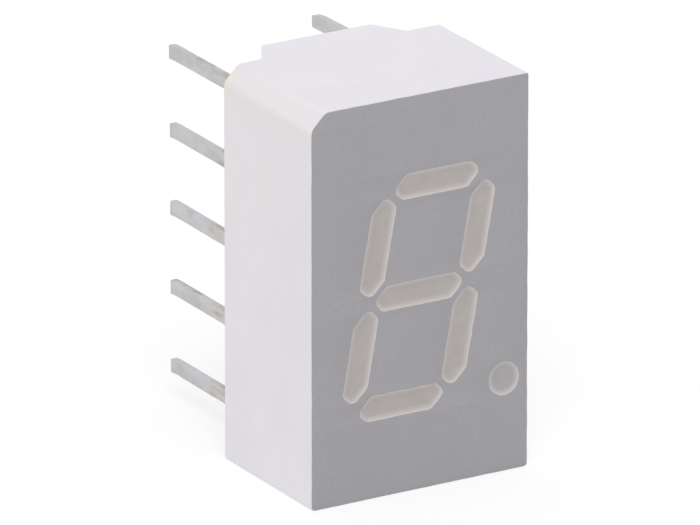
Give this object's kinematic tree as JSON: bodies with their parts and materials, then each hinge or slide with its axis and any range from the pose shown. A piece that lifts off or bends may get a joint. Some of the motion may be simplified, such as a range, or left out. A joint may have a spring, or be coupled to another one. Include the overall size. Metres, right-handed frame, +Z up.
{
  "type": "seven segment display",
  "caption": "Single-digit LED display: white housing with a grey face, slanted segments, a round decimal point and two rows of flat leads behind.",
  "frame": {"origin": "centre of the flat underside of the housing, midway between the face and the rear edge of the side walls", "axes": "+X to the viewer's right as the digit is read, +Y from the face to the leads, +Z up the digit"},
  "size_m": [0.0074, 0.0103, 0.0125],
  "materials": {
    "housing": "satin white moulded plastic",
    "face_print": "satin grey ink film",
    "well_casting": "light-diffusing epoxy, beige grey when off",
    "back_casting": "milky white epoxy",
    "lead": "dull tin plating on a stamped strip",
    "die": "semiconductor die",
    "wire": "fine gold wire"
  },
  "bodies": {
    "root": {"housing": "housing", "face_print": "face_print", "segment_a": "well_casting", "segment_b": "well_casting", "segment_c": "well_casting", "segment_d": "well_casting", "segment_e": "well_casting", "segment_f": "well_casting", "segment_g": "well_casting", "decimal_point": "well_casting", "die_a": "die", "die_b": "die", "die_c": "die", "die_d": "die", "die_e": "die", "die_f": "die", "die_g": "die", "die_point": "die", "wire_a": "wire", "wire_b": "wire", "wire_c": "wire", "wire_d": "wire", "wire_e": "wire", "wire_f": "wire", "wire_g": "wire", "wire_point": "wire", "lead_1": "lead", "lead_2": "lead", "common_lead": "lead", "lead_4": "lead", "lead_5": "lead", "lead_6": "lead", "lead_7": "lead", "lead_9": "lead", "lead_10": "lead", "back_casting": "back_casting"}
  },
  "joints": []
}
